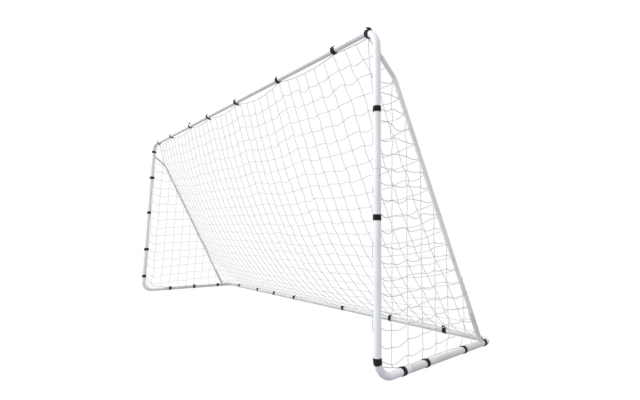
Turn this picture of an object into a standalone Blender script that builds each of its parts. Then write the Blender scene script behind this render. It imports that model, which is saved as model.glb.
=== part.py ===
"""Portable soccer goal: a push-fit frame of swaged steel tubes, held by spring snap buttons,
with a net tied on by hook-and-loop straps.

Metres, +Z up. X runs across the mouth, the mouth faces -Y and the ground bar at the rear is at +Y.
The origin is on the ground, in the middle of the goal's box.
"""
import math

import bmesh
import bpy
from mathutils import Vector

# Driving dimensions of the whole goal, outside the tubes
GOAL_WIDTH = 3.66
GOAL_HEIGHT = 1.83
GOAL_DEPTH = 1.22

# Tubes
FRAME_R = 0.019             # posts, crossbar and ground bars
BRACE_R = 0.0127            # braces between the posts and the ground bars
WALL = 0.0012
GAP = 0.0003                # clearance between pieces that touch
SPIGOT_LENGTH = 0.060       # swaged end that goes into the next tube
CONE_LENGTH = 0.006         # taper from the tube to its swaged end
SIDES = 12                  # facets round a tube, with flats facing the frame's axes
BEND_STEPS = 6              # straight runs in a 90 degree bend

# Bends and the places of the tube joints
FRONT_BEND_R = 0.105        # top corners and front ground corners
REAR_BEND_R = 0.076         # rear ground corners
CROSSBAR_OUTER_JOINT = 1.60
CROSSBAR_INNER_JOINT = 0.533
REAR_OUTER_JOINT = 1.66
REAR_INNER_JOINT = 0.553
POST_JOINT_HEIGHT = 1.035
BASE_FRONT_JOINT = 0.26     # behind the mouth's plane
BASE_REAR_JOINT = 1.065

# Braces: each leaves a stub on the post, bends once and ends in a socket on the ground bar
BRACE_TOP_HEIGHT = 1.680
BRACE_KNEE = (0.150, 1.572)  # behind the mouth's plane, and above the ground
BRACE_FOOT_DEPTH = 1.048
BRACE_BEND_R = 0.16
BRACE_BEND_STEPS = 3
STUB_LENGTH = 0.095         # from the post's axis
BRACE_START = 0.042         # where the brace's upper end is, from the post's axis
SOCKET_R = 0.0150
SOCKET_LENGTH = 0.250       # from the ground bar's axis
SOCKET_FLOOR = 0.034
BRACE_IN_SOCKET = 0.070
BRACE_JOINT_HEIGHT = 0.872

# Snap buttons
BUTTON_SETBACK = 0.030      # from the tube joint to the button's axis
BUTTON_SIDES = 12
HOLE_CLEARANCE = 0.00035
BUTTON_SIZES = {             # tube's radius, pin's radius and how far the pin stands out
    "frame": (FRAME_R, 0.0034, 0.0035),
    "brace": (BRACE_R, 0.0021, 0.0030),
}
DOME_HEIGHT = 0.5           # of the pin's radius
DOME_SHOULDER = (0.75, 0.12)  # of the pin's radius: the dome's inner ring, and its drop from the tip
LEAF_THICKNESS = 0.0008
LEAF_ENDS = (-0.006, 0.020)  # from the pin's axis, towards the tube joint and away from it
LEAF_MARGIN = 0.0002

# Straps
STRAP_WIDTH = 0.026
STRAP_LAYER = 0.0015
TAIL_LENGTH = 0.009
TAIL_LIFT = 2.2             # of a layer, at the tail's tip

# Facets that face the ground, on a strap along each axis
GROUND_FACETS = {"x": (5, 6, 7), "y": (11, 0, 1)}

# Net panels
NET_THICKNESS = 0.001
NET_BACK_HALF_WIDTH = 1.75
NET_BACK_NORMAL = (0, 0.8, 0.6)

# Derived places of the tube axes
HALF_W = GOAL_WIDTH / 2 - FRAME_R
FRONT_Y = FRAME_R - GOAL_DEPTH / 2
REAR_Y = GOAL_DEPTH / 2 - FRAME_R
GROUND_Z = FRAME_R + GAP + STRAP_LAYER
TOP_Z = GROUND_Z + GOAL_HEIGHT - 2 * FRAME_R

AXIS_X = Vector((1, 0, 0))
AXIS_Y = Vector((0, 1, 0))
AXIS_Z = Vector((0, 0, 1))


# ---------------------------------------------------------------- materials

def material(name, color, roughness, metallic=0.0):
    """A plain Principled material."""
    mat = bpy.data.materials.new(name)
    mat.use_nodes = True
    shader = mat.node_tree.nodes["Principled BSDF"]
    shader.inputs["Base Color"].default_value = (*color, 1.0)
    shader.inputs["Roughness"].default_value = roughness
    shader.inputs["Metallic"].default_value = metallic
    return mat


def make_materials():
    return {
        "tube": material("white_powder_coat", (0.84, 0.85, 0.88), 0.30),
        "brace": material("white_powder_coat_brace", (0.80, 0.81, 0.83), 0.34),
        "strap": material("black_strap", (0.015, 0.015, 0.017), 0.90),
        "button": material("plated_steel", (0.35, 0.36, 0.38), 0.35, 1.0),
        "net": material("white_net_cord", (0.76, 0.76, 0.77), 0.85),
    }


# ---------------------------------------------------------------- mesh helpers

def add_object(name, mesh, mat):
    obj = bpy.data.objects.new(name, mesh)
    bpy.context.scene.collection.objects.link(obj)
    mesh.materials.append(mat)
    return obj


def finish_mesh(name, bm, smooth_angle=40.0):
    """Clean normals, triangulate and turn a bmesh into a mesh with smooth round faces."""
    bmesh.ops.recalc_face_normals(bm, faces=bm.faces)
    bmesh.ops.triangulate(bm, faces=bm.faces)
    mesh = bpy.data.meshes.new(name)
    bm.to_mesh(mesh)
    bm.free()
    mesh.shade_smooth()
    mesh.set_sharp_from_angle(angle=math.radians(smooth_angle))
    return mesh


def flat_ngon(flat_radius, sides=SIDES):
    """A regular outline whose flats, not its corners, are at the radius."""
    corner = flat_radius / math.cos(math.pi / sides)
    angles = [(k + 0.5) * 2 * math.pi / sides for k in range(sides)]
    return [(corner * math.cos(a), corner * math.sin(a)) for a in angles]


def mitred_ring(path, index, normal, outline):
    """An outline placed at a point of a path, in the plane that halves the corner there."""
    here = path[index]
    before = (here - path[index - 1]).normalized() if index else None
    after = (path[index + 1] - here).normalized() if index + 1 < len(path) else None
    along = before or after
    plane = (along + (after or along)).normalized()
    side = along.cross(normal)
    ring = []
    for a, b in outline:
        offset = side * a + normal * b
        ring.append(here + offset - along * (offset.dot(plane) / along.dot(plane)))
    return ring


def bridge(bm, ring_a, ring_b):
    """Quads between two closed rings of the same number of vertices."""
    count = len(ring_a)
    for k in range(count):
        nxt = (k + 1) % count
        bm.faces.new((ring_a[k], ring_a[nxt], ring_b[nxt], ring_b[k]))


def boolean(target, cutter, operation):
    """Join or cut a mesh object with another, keep the result and delete the other."""
    modifier = target.modifiers.new(operation.lower(), "BOOLEAN")
    modifier.operation = operation
    modifier.solver = "EXACT"
    modifier.object = cutter
    depsgraph = bpy.context.evaluated_depsgraph_get()
    result = bpy.data.meshes.new_from_object(target.evaluated_get(depsgraph))
    target.modifiers.clear()
    target.data = result
    bpy.data.objects.remove(cutter)


# ---------------------------------------------------------------- paths

def arc_points(centre, start, end, steps):
    """Points on an arc between two points at the same distance from its centre."""
    a = start - centre
    b = end - centre
    angle = a.angle(b)
    radius = a.length
    tangent = (b - a * math.cos(angle)) / math.sin(angle)
    turns = [angle * k / steps for k in range(steps + 1)]
    return [centre + a * math.cos(t) + tangent.normalized() * radius * math.sin(t) for t in turns]


def filleted(start, corner, end, radius, steps):
    """A path from start to end, rounded at its corner."""
    back = (start - corner).normalized()
    on = (end - corner).normalized()
    half = back.angle(on) / 2
    reach = radius / math.tan(half)
    centre = corner + (back + on).normalized() * (radius / math.sin(half))
    arc = arc_points(centre, corner + back * reach, corner + on * reach, steps)
    return [start, *arc, end]


def spigot_stations(path, radius, male_start, male_end):
    """The path with a radius at each point, carried on past a joint where an end is swaged."""
    small = radius - WALL - GAP
    stations = [(p, radius) for p in path]
    if male_start:
        stations = swaged_end(stations[::-1], radius, small)[::-1]
    if male_end:
        stations = swaged_end(stations, radius, small)
    return stations


def swaged_end(stations, radius, small):
    """Replace the last station, at the joint, by the cone and the spigot beyond it."""
    joint = stations[-1][0]
    along = (joint - stations[-2][0]).normalized()
    end = [(joint - along * CONE_LENGTH, radius), (joint, small), (joint + along * SPIGOT_LENGTH, small)]
    return stations[:-1] + end


# ---------------------------------------------------------------- tubes

def swept_mesh(name, stations, normal, bore):
    """A tube with the stations' radii, or a solid bar where bore is False."""
    path = [p for p, _ in stations]
    bm = bmesh.new()
    skins = []
    for inset in ((0.0, WALL) if bore else (0.0,)):
        rings = []
        for k, (_, radius) in enumerate(stations):
            points = mitred_ring(path, k, normal, flat_ngon(radius - inset))
            rings.append([bm.verts.new(p) for p in points])
        for ring_a, ring_b in zip(rings, rings[1:]):
            bridge(bm, ring_a, ring_b)
        skins.append(rings)
    if bore:
        bridge(bm, skins[0][0], skins[1][0])
        bridge(bm, skins[0][-1], skins[1][-1])
    else:
        bm.faces.new(skins[0][0])
        bm.faces.new(skins[0][-1])
    return finish_mesh(name, bm)


def tube(name, path, normal, mat, radius=FRAME_R, male=(False, False)):
    """A bent or straight tube along a path that ends at its joints."""
    stations = spigot_stations(path, radius, *male)
    return add_object(name, swept_mesh(name, stations, normal, True), mat)


def bar(name, start, end, radius, normal, mat):
    """A solid round bar, for joining to a tube or cutting it."""
    mesh = swept_mesh(name, [(start, radius), (end, radius)], normal, False)
    return add_object(name, mesh, mat)


def mirrored(sign, points):
    """Points given for the right side, on the side with this sign."""
    return [Vector((sign * p.x, p.y, p.z)) for p in points]


def crossbar_tubes(mats):
    ends = (CROSSBAR_OUTER_JOINT, CROSSBAR_INNER_JOINT)
    straight_run("crossbar", ends, FRONT_Y, TOP_Z, mats["tube"])


def rear_base_tubes(mats):
    ends = (REAR_OUTER_JOINT, REAR_INNER_JOINT)
    straight_run("rear_base", ends, REAR_Y, GROUND_Z, mats["tube"])


def straight_run(name, ends, y, z, mat):
    """Three tubes in a row: the outer two have swaged inner ends, and the middle one takes them."""
    outer, inner = ends
    for side, sign in (("left", -1), ("right", 1)):
        path = mirrored(sign, [Vector((outer, y, z)), Vector((inner, y, z))])
        tube(f"{name}_{side}", path, AXIS_Y, mat, male=(False, True))
    path = [Vector((-inner, y, z)), Vector((inner, y, z))]
    tube(f"{name}_centre", path, AXIS_Y, mat)


def upper_post_path():
    """From the crossbar joint round the top corner and down to the post joint."""
    start = Vector((CROSSBAR_OUTER_JOINT, FRONT_Y, TOP_Z))
    corner = Vector((HALF_W, FRONT_Y, TOP_Z))
    end = Vector((HALF_W, FRONT_Y, POST_JOINT_HEIGHT))
    return filleted(start, corner, end, FRONT_BEND_R, BEND_STEPS)


def lower_post_path():
    """From the post joint down, round the ground corner and back to the side base joint."""
    start = Vector((HALF_W, FRONT_Y, POST_JOINT_HEIGHT))
    corner = Vector((HALF_W, FRONT_Y, GROUND_Z))
    end = Vector((HALF_W, FRONT_Y + BASE_FRONT_JOINT, GROUND_Z))
    return filleted(start, corner, end, FRONT_BEND_R, BEND_STEPS)


def rear_corner_path():
    """From the side base joint round the rear corner to the rear base joint."""
    start = Vector((HALF_W, FRONT_Y + BASE_REAR_JOINT, GROUND_Z))
    corner = Vector((HALF_W, REAR_Y, GROUND_Z))
    end = Vector((REAR_OUTER_JOINT, REAR_Y, GROUND_Z))
    return filleted(start, corner, end, REAR_BEND_R, BEND_STEPS)


def brace_points():
    """The brace's axis: on the post's axis, at the knee and on the ground bar's axis."""
    top = Vector((HALF_W, FRONT_Y, BRACE_TOP_HEIGHT))
    knee = Vector((HALF_W, FRONT_Y + BRACE_KNEE[0], BRACE_KNEE[1]))
    foot = Vector((HALF_W, FRONT_Y + BRACE_FOOT_DEPTH, GROUND_Z))
    return top, knee, foot


def brace_joint_point():
    """Where the two lengths of a brace meet."""
    _, knee, foot = brace_points()
    share = (knee.z - BRACE_JOINT_HEIGHT) / (knee.z - foot.z)
    return knee.lerp(foot, share)


def upper_posts(mats):
    """Top corner and upper post in one bent tube, with the brace's stub welded on behind."""
    top, knee, _ = brace_points()
    back = (knee - top).normalized()
    for side, sign in (("left", -1), ("right", 1)):
        path = mirrored(sign, upper_post_path())
        stations = spigot_stations(path, FRAME_R, True, True)
        name = f"upper_post_{side}"
        post = add_object(name, swept_mesh(name, stations, AXIS_Y, False), mats["tube"])
        stub_r = BRACE_R - WALL - GAP
        root, tip = mirrored(sign, [top, top + back * STUB_LENGTH])
        boolean(post, bar("stub", root, tip, stub_r, AXIS_X, mats["tube"]), "UNION")
        bore = [(p, r - WALL) for p, r in stations]
        bore[0] = (bore[0][0] + (bore[0][0] - bore[1][0]).normalized() * WALL, bore[0][1])
        bore[-1] = (bore[-1][0] + (bore[-1][0] - bore[-2][0]).normalized() * WALL, bore[-1][1])
        inside = add_object("bore", swept_mesh("bore", bore, AXIS_Y, False), mats["tube"])
        boolean(post, inside, "DIFFERENCE")
        stub_bore = [top + back * (BRACE_START + WALL), top + back * (STUB_LENGTH + WALL)]
        floor, mouth = mirrored(sign, stub_bore)
        boolean(post, bar("stub_bore", floor, mouth, stub_r - WALL, AXIS_X, mats["tube"]), "DIFFERENCE")


def lower_posts(mats):
    """Lower post and front ground corner in one bent tube."""
    for side, sign in (("left", -1), ("right", 1)):
        path = mirrored(sign, lower_post_path())
        tube(f"lower_post_{side}", path, AXIS_X, mats["tube"], male=(False, True))


def side_bases(mats):
    """Ground bar at each side, with the brace's socket welded on top near its rear end."""
    _, knee, foot = brace_points()
    up = (knee - foot).normalized()
    start = Vector((HALF_W, FRONT_Y + BASE_FRONT_JOINT, GROUND_Z))
    end = Vector((HALF_W, FRONT_Y + BASE_REAR_JOINT, GROUND_Z))
    for side, sign in (("left", -1), ("right", 1)):
        ends = mirrored(sign, [start, end])
        base = bar(f"side_base_{side}", *ends, FRAME_R, AXIS_X, mats["tube"])
        root, rim = mirrored(sign, [foot, foot + up * SOCKET_LENGTH])
        boolean(base, bar("socket", root, rim, SOCKET_R, AXIS_X, mats["tube"]), "UNION")
        past = [ends[0] - AXIS_Y * WALL, ends[1] + AXIS_Y * WALL]
        boolean(base, bar("bore", *past, FRAME_R - WALL, AXIS_X, mats["tube"]), "DIFFERENCE")
        floor, mouth = mirrored(sign, [foot + up * SOCKET_FLOOR, foot + up * (SOCKET_LENGTH + WALL)])
        socket_bore = bar("socket_bore", floor, mouth, BRACE_R + GAP, AXIS_X, mats["tube"])
        boolean(base, socket_bore, "DIFFERENCE")


def rear_corners(mats):
    """Rear ground corners: bent tubes swaged at both ends."""
    for side, sign in (("left", -1), ("right", 1)):
        path = mirrored(sign, rear_corner_path())
        tube(f"rear_corner_{side}", path, AXIS_Z, mats["tube"], male=(True, True))


def braces(mats):
    """Each brace in two lengths: a bent upper one over the stub, and a lower one in the socket."""
    top, knee, foot = brace_points()
    start = top + (knee - top).normalized() * BRACE_START
    joint = brace_joint_point()
    lower_end = foot + (knee - foot).normalized() * (SOCKET_LENGTH - BRACE_IN_SOCKET)
    for side, sign in (("left", -1), ("right", 1)):
        path = mirrored(sign, filleted(start, knee, joint, BRACE_BEND_R, BRACE_BEND_STEPS))
        tube(f"upper_brace_{side}", path, AXIS_X, mats["brace"], BRACE_R, (False, True))
        path = mirrored(sign, [joint, lower_end])
        tube(f"lower_brace_{side}", path, AXIS_X, mats["brace"], BRACE_R)


# ---------------------------------------------------------------- snap buttons

def leaf_top(tube_r):
    """Distance from the tube's axis to the leaf, which lies under the swaged tube's wall."""
    return tube_r - 2 * WALL - 2 * GAP


def pin_profile(tube_r, pin_r, tip):
    """The pin's rings from its foot to its dome, as (radius, distance from the tube's axis)."""
    foot = leaf_top(tube_r) - WALL
    ring, drop = DOME_SHOULDER
    return [(pin_r, foot), (pin_r, tip - pin_r * DOME_HEIGHT), (pin_r * ring, tip - pin_r * drop)]


def ring_points(centre, u, v, radius, phase):
    """A ring of points round a centre, in the plane of two unit vectors."""
    turns = [(k + phase) * 2 * math.pi / BUTTON_SIDES for k in range(BUTTON_SIDES)]
    return [centre + u * radius * math.cos(t) + v * radius * math.sin(t) for t in turns]


def snap_button(name, axis_point, out, along, tube_r, pin_r, proud, mat):
    """A domed pin on the end of its leaf spring, which lies inside the swaged tube."""
    tip = tube_r + proud
    across = out.cross(along)
    bm = bmesh.new()
    rings = []
    for radius, height in pin_profile(tube_r, pin_r, tip):
        points = ring_points(out * height, along, across, radius, 0.5)
        rings.append([bm.verts.new(p) for p in points])
    for ring_a, ring_b in zip(rings, rings[1:]):
        bridge(bm, ring_a, ring_b)
    bm.faces.new(rings[0])
    peak = bm.verts.new(out * tip)
    for k in range(BUTTON_SIDES):
        bm.faces.new((rings[-1][k], rings[-1][(k + 1) % BUTTON_SIDES], peak))
    pin = add_object(name, finish_mesh(name, bm), mat)
    leaf = leaf_block(leaf_top(tube_r), pin_r + LEAF_MARGIN, out, along, across, mat)
    boolean(pin, leaf, "UNION")
    pin.location = axis_point


def leaf_block(top, half, out, along, across, mat):
    """The flat end of the leaf spring, longer to one side of the pin."""
    short_end, long_end = LEAF_ENDS
    bm = bmesh.new()
    corners = []
    for height in (top - LEAF_THICKNESS, top):
        outline = ((short_end, -half), (long_end, -half), (long_end, half), (short_end, half))
        corners.append([bm.verts.new(along * a + across * b + out * height) for a, b in outline])
    bridge(bm, *corners)
    bm.faces.new(corners[0])
    bm.faces.new(corners[1])
    return add_object("leaf", finish_mesh("leaf", bm), mat)


def drill(node, centre, out, tube_r, hole_r):
    """A round hole through one wall of a tube."""
    mesh = hole_mesh(centre, out, tube_r, hole_r)
    target = bpy.data.objects[node]
    boolean(target, add_object("drill", mesh, target.data.materials[0]), "DIFFERENCE")


def hole_mesh(centre, out, tube_r, hole_r):
    """The drill's own solid, which starts inside the tube and ends well outside it."""
    helper = AXIS_Z if abs(out.z) < 0.5 else AXIS_X
    u = out.cross(helper).normalized()
    v = out.cross(u)
    bm = bmesh.new()
    rings = []
    for height in (tube_r * 0.5, tube_r * 1.3):
        points = ring_points(centre + out * height, u, v, hole_r, 0.0)
        rings.append([bm.verts.new(p) for p in points])
    bridge(bm, *rings)
    bm.faces.new(rings[0])
    bm.faces.new(rings[1])
    return finish_mesh("drill", bm)


def button_places():
    """Name, tube joint, direction into the outer tube, outward direction and the two tubes' nodes."""
    places = []
    for side, sign in (("left", -1), ("right", 1)):
        out = AXIS_X * sign
        inward = -out
        joint = Vector((sign * CROSSBAR_OUTER_JOINT, FRONT_Y, TOP_Z))
        nodes = (f"upper_post_{side}", f"crossbar_{side}")
        places.append((f"button_crossbar_outer_{side}", joint, inward, AXIS_Y, nodes, "frame"))
        joint = Vector((sign * CROSSBAR_INNER_JOINT, FRONT_Y, TOP_Z))
        nodes = (f"crossbar_{side}", "crossbar_centre")
        places.append((f"button_crossbar_inner_{side}", joint, inward, AXIS_Y, nodes, "frame"))
        joint = Vector((sign * HALF_W, FRONT_Y, POST_JOINT_HEIGHT))
        nodes = (f"upper_post_{side}", f"lower_post_{side}")
        places.append((f"button_post_{side}", joint, -AXIS_Z, out, nodes, "frame"))
        _, knee, foot = brace_points()
        joint = brace_joint_point()
        joint.x *= sign
        nodes = (f"upper_brace_{side}", f"lower_brace_{side}")
        down = (foot - knee).normalized()
        places.append((f"button_brace_{side}", joint, down, out, nodes, "brace"))
    return places


def snap_buttons(mats):
    """Holes through both walls at each held joint, and the button that stands in them."""
    for name, joint, along, out, nodes, kind in button_places():
        tube_r, pin_r, proud = BUTTON_SIZES[kind]
        centre = joint + along * BUTTON_SETBACK
        for node in nodes:
            drill(node, centre, out, tube_r, pin_r + HOLE_CLEARANCE)
        snap_button(name, centre, out, along, tube_r, pin_r, proud, mats["button"])


# ---------------------------------------------------------------- straps

def strap_outline(tail_facet, thin_facets):
    """Inner and outer outlines of a wrapped strap whose loose end stands off one facet.

    The strap is two layers thick, but one layer on the facets that it rests on.
    """
    inner = flat_ngon(FRAME_R + GAP)
    outer_r = [FRAME_R + GAP + STRAP_LAYER * (1 if k in thin_facets else 2) for k in range(SIDES)]
    outer = []
    for k in range(SIDES):
        outer.append(flats_corner(k, outer_r[k], outer_r[(k + 1) % SIDES]))
    heel = outer[tail_facet - 1]
    toe = outer[tail_facet]
    along = Vector((toe[0] - heel[0], toe[1] - heel[1])).normalized()
    out = Vector((along.y, -along.x))
    heel, toe = Vector(heel), Vector(toe)
    tip = toe + along * TAIL_LENGTH + out * STRAP_LAYER * TAIL_LIFT
    tail = [heel + out * STRAP_LAYER, tip, tip - out * STRAP_LAYER]
    return inner, outer, [tuple(p) for p in tail]


def flats_corner(k, r_before, r_after):
    """Where the flat of facet k meets the flat of facet k + 1, at their own radii."""
    step = 2 * math.pi / SIDES
    a, b = k * step, (k + 1) * step
    det = math.sin(b - a)
    x = (r_before * math.sin(b) - r_after * math.sin(a)) / det
    y = (r_after * math.cos(a) - r_before * math.cos(b)) / det
    return (x, y)


def strap(name, path, index, normal, tail_facet, thin_facets, mat):
    """A strap round the run of a path between the points index and index + 1."""
    inner, outer, tail = strap_outline(tail_facet, thin_facets)
    bm = bmesh.new()
    ends = []
    for k in (index, index + 1):
        rings = []
        for outline in (inner, outer, tail):
            rings.append([bm.verts.new(p) for p in mitred_ring(path, k, normal, outline)])
        ends.append(rings)
    bridge(bm, ends[0][0], ends[1][0])
    loops = []
    for rings in ends:
        loops.append(rings[1][:tail_facet] + rings[2] + rings[1][tail_facet:])
    bridge(bm, *loops)
    for rings in ends:
        for k in range(SIDES):
            # facet k of the inner outline lies between its corners k - 1 and k
            outer_edge = [rings[1][k - 1], rings[1][k]]
            if k == tail_facet:
                outer_edge = [rings[1][k - 1], *rings[2], rings[1][k]]
            bm.faces.new([rings[0][k], rings[0][k - 1], *outer_edge])
    return add_object(name, finish_mesh(name, bm, 25.0), mat)


def straight_strap(name, centre, along, normal, tail_facet, thin_facets, mat):
    half = along * STRAP_WIDTH / 2
    strap(name, [centre - half, centre + half], 0, normal, tail_facet, thin_facets, mat)


def crossbar_straps(mat):
    """Along the crossbar from the right; the first is on the upper part of the right corner's bend."""
    path = upper_post_path()
    strap("strap_crossbar_1", path, 2, AXIS_Y, 11, (), mat)
    places = ((1.481, 11), (0.894, 5), (0.288, 4), (-0.250, 5), (-0.675, 11), (-1.217, 4), (-1.630, 5))
    for k, (x, tail) in enumerate(places, start=2):
        centre = Vector((x, FRONT_Y, TOP_Z))
        straight_strap(f"strap_crossbar_{k}", centre, AXIS_X, AXIS_Y, tail, (), mat)


def post_straps(mat):
    """Down each post; one sits on the left top bend and one on the right ground bend."""
    path = mirrored(-1, upper_post_path())
    strap("strap_left_post_1", path, len(path) - 3, AXIS_Y, 2, (), mat)
    places = ((1.389, 2), (0.954, 4), (0.507, 3), (0.188, 5))
    for k, (z, tail) in enumerate(places, start=2):
        centre = Vector((-HALF_W, FRONT_Y, z))
        straight_strap(f"strap_left_post_{k}", centre, AXIS_Z, AXIS_Y, tail, (), mat)
    for k, (z, tail) in enumerate(((1.356, 11), (0.793, 1)), start=1):
        centre = Vector((HALF_W, FRONT_Y, z))
        straight_strap(f"strap_right_post_{k}", centre, AXIS_Z, AXIS_Y, tail, (), mat)
    strap("strap_right_post_3", lower_post_path(), 1, AXIS_X, 8, (), mat)


def base_straps(mat):
    """Along the ground bars; the facets that rest on the ground have one layer."""
    sides = {"right": (1, ((0.198, 5), (0.411, 6), (0.819, 5), (1.086, 7))),
             "left": (-1, ((0.322, 4), (0.634, 5), (0.968, 3)))}
    for side, (sign, places) in sides.items():
        for k, (depth, tail) in enumerate(places, start=1):
            centre = Vector((sign * HALF_W, FRONT_Y + depth, GROUND_Z))
            name = f"strap_{side}_base_{k}"
            straight_strap(name, centre, AXIS_Y, AXIS_X, tail, GROUND_FACETS["y"], mat)
    places = ((-1.561, 9), (-1.105, 10), (-0.740, 8), (-0.348, 9), (0.410, 8), (0.974, 10), (1.479, 9))
    for k, (x, tail) in enumerate(places, start=1):
        centre = Vector((x, REAR_Y, GROUND_Z))
        straight_strap(f"strap_rear_{k}", centre, AXIS_X, AXIS_Y, tail, GROUND_FACETS["x"], mat)


# ---------------------------------------------------------------- net panels

def plate(name, outline, direction, thickness, mat):
    """A thin plate: a closed outline pushed along a direction."""
    bm = bmesh.new()
    rings = []
    for step in (0.0, thickness):
        rings.append([bm.verts.new(p + direction * step) for p in outline])
    bridge(bm, *rings)
    bm.faces.new(rings[0])
    bm.faces.new(rings[1])
    return add_object(name, finish_mesh(name, bm, 20.0), mat)


def net_back_profile():
    """The sagging back of the net, from under the crossbar to the rear ground bar."""
    points = ((0.002, 1.765), (0.165, 1.405), (0.350, 1.050), (0.510, 0.780),
              (0.700, 0.545), (0.900, 0.330), (1.050, 0.175), (1.130, 0.052))
    return [Vector((0, FRONT_Y + y, z)) for y, z in points]


def net_panels(mat):
    """The net's back and its two sides, as thin sheets."""
    front = net_back_profile()
    back = [p + Vector(NET_BACK_NORMAL) * NET_THICKNESS for p in reversed(front)]
    outline = [p - AXIS_X * NET_BACK_HALF_WIDTH for p in front + back]
    plate("net_back", outline, AXIS_X, 2 * NET_BACK_HALF_WIDTH, mat)
    side = ((0.034, 0.140), (0.034, 1.625), (0.130, 1.548),
            (0.990, 0.065), (0.980, 0.056), (0.110, 0.056))
    for name, sign in (("net_side_left", -1), ("net_side_right", 1)):
        x = sign * HALF_W - NET_THICKNESS / 2
        outline = [Vector((x, FRONT_Y + y, z)) for y, z in side]
        plate(name, outline, AXIS_X, NET_THICKNESS, mat)


# ---------------------------------------------------------------- assembly

def build():
    for obj in list(bpy.data.objects):
        bpy.data.objects.remove(obj)
    mats = make_materials()
    crossbar_tubes(mats)
    upper_posts(mats)
    lower_posts(mats)
    side_bases(mats)
    rear_corners(mats)
    rear_base_tubes(mats)
    braces(mats)
    snap_buttons(mats)
    crossbar_straps(mats["strap"])
    post_straps(mats["strap"])
    base_straps(mats["strap"])
    net_panels(mats["net"])


build()
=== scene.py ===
"""Looks of the portable soccer goal: round tubes, welds, straps, snap buttons and the knotted net.

Metres, +Z up. X runs across the mouth, the mouth faces -Y. "right" is the +X side.
"""
import math

import bpy
import numpy as np
from mathutils import Matrix, Vector


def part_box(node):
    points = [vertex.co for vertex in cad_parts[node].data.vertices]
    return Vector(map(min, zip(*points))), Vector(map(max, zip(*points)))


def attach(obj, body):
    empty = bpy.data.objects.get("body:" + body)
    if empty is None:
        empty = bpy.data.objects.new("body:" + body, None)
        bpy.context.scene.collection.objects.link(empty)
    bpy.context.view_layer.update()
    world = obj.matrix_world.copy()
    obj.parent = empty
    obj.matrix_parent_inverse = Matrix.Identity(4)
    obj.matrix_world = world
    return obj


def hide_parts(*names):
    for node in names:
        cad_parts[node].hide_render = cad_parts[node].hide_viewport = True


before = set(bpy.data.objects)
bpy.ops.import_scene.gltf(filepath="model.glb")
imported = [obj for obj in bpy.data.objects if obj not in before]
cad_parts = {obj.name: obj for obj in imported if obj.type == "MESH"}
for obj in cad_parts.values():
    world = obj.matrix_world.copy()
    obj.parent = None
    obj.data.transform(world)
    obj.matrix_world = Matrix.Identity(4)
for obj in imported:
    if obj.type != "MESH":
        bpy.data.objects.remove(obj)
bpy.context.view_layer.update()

SIDES = {"left": -1, "right": 1}
BODY = "frame"
RNG = np.random.default_rng(7)


# ---- places, from the frame

def middle(node):
    low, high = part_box(node)
    return (low + high) / 2


def size(node):
    low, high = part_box(node)
    return high - low


TUBE_R = size("crossbar_centre").z / 2
TOP_Z = middle("crossbar_centre").z
FRONT_Y = middle("crossbar_centre").y
CROSSBAR_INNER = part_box("crossbar_centre")[1].x
CROSSBAR_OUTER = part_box("crossbar_right")[1].x
SPIGOT = CROSSBAR_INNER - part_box("crossbar_right")[0].x
HALF_W = middle("lower_post_right").x
POST_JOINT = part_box("lower_post_right")[1].z
REAR_Y = middle("rear_base_centre").y
GROUND_Z = middle("rear_base_centre").z
REAR_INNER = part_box("rear_base_centre")[1].x
REAR_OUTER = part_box("rear_base_right")[1].x
BASE_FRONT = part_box("side_base_right")[0].y
BASE_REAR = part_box("side_base_right")[1].y
BRACE_R = size("lower_brace_right").x / 2
BRACE_JOINT_Z = middle("button_brace_right").z + 0.026

WALL = 0.0012
GAP = 0.0003
CONE = 0.006                # taper from a tube to its swaged end
FRONT_BEND_R = 0.105
REAR_BEND_R = 0.076
BRACE_TOP = Vector((HALF_W, FRONT_Y, 1.680))
BRACE_KNEE = Vector((HALF_W, FRONT_Y + 0.150, 1.572))
BRACE_FOOT = Vector((HALF_W, FRONT_Y + 1.048, GROUND_Z))
BRACE_BEND_R = 0.16
STUB_LENGTH = 0.095
BRACE_START = 0.042
SOCKET_R = 0.0150
SOCKET_LENGTH = 0.250
SOCKET_FLOOR = 0.034
BRACE_IN_SOCKET = 0.070
TUBE_HOLE_R = 0.00375       # the holes that the snap buttons stand in
BRACE_HOLE_R = 0.00245
TUBE_PIN_R = 0.0034
BRACE_PIN_R = 0.0021
TUBE_PIN_PROUD = 0.0035
BRACE_PIN_PROUD = 0.0030
STRAP_WIDTH = 0.0295
STRAP_LAYER = 0.0012

# Net
CORD_R = 0.0018
ROPE_R = 0.0022
NET_COLUMNS = 36
NET_ROWS = 22
ROW_CORD = 0.0939           # between knots, down the back
COLUMN_CORD = 0.0998        # between knots, across the back
SIDE_MESH = {"right": (0.133, 0.080), "left": (0.104, 0.096)}
OUTSIDE_BELOW = 0.50        # the side panels pass outside the braces below this height

AXIS_X = Vector((1, 0, 0))
AXIS_Y = Vector((0, 1, 0))
AXIS_Z = Vector((0, 0, 1))
OTHER_WAY = [0, 3, 2, 1]    # turns a quad over


# ---- materials

def new_material(name, color, roughness, metallic=0.0):
    """A Principled material with its node tree ready for detail."""
    mat = bpy.data.materials.new(name)
    mat.use_nodes = True
    shader = mat.node_tree.nodes["Principled BSDF"]
    shader.inputs["Base Color"].default_value = (*color, 1.0)
    shader.inputs["Roughness"].default_value = roughness
    shader.inputs["Metallic"].default_value = metallic
    return mat, shader


def add_node(mat, kind, **settings):
    """A node with its settings; an input's value is given by the input's name with in_ before it."""
    node = mat.node_tree.nodes.new(kind)
    for key, value in settings.items():
        if key.startswith("in_"):
            node.inputs[key[3:].replace("_", " ")].default_value = value
        else:
            setattr(node, key, value)
    return node


def join(mat, out_socket, in_socket):
    mat.node_tree.links.new(out_socket, in_socket)


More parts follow.
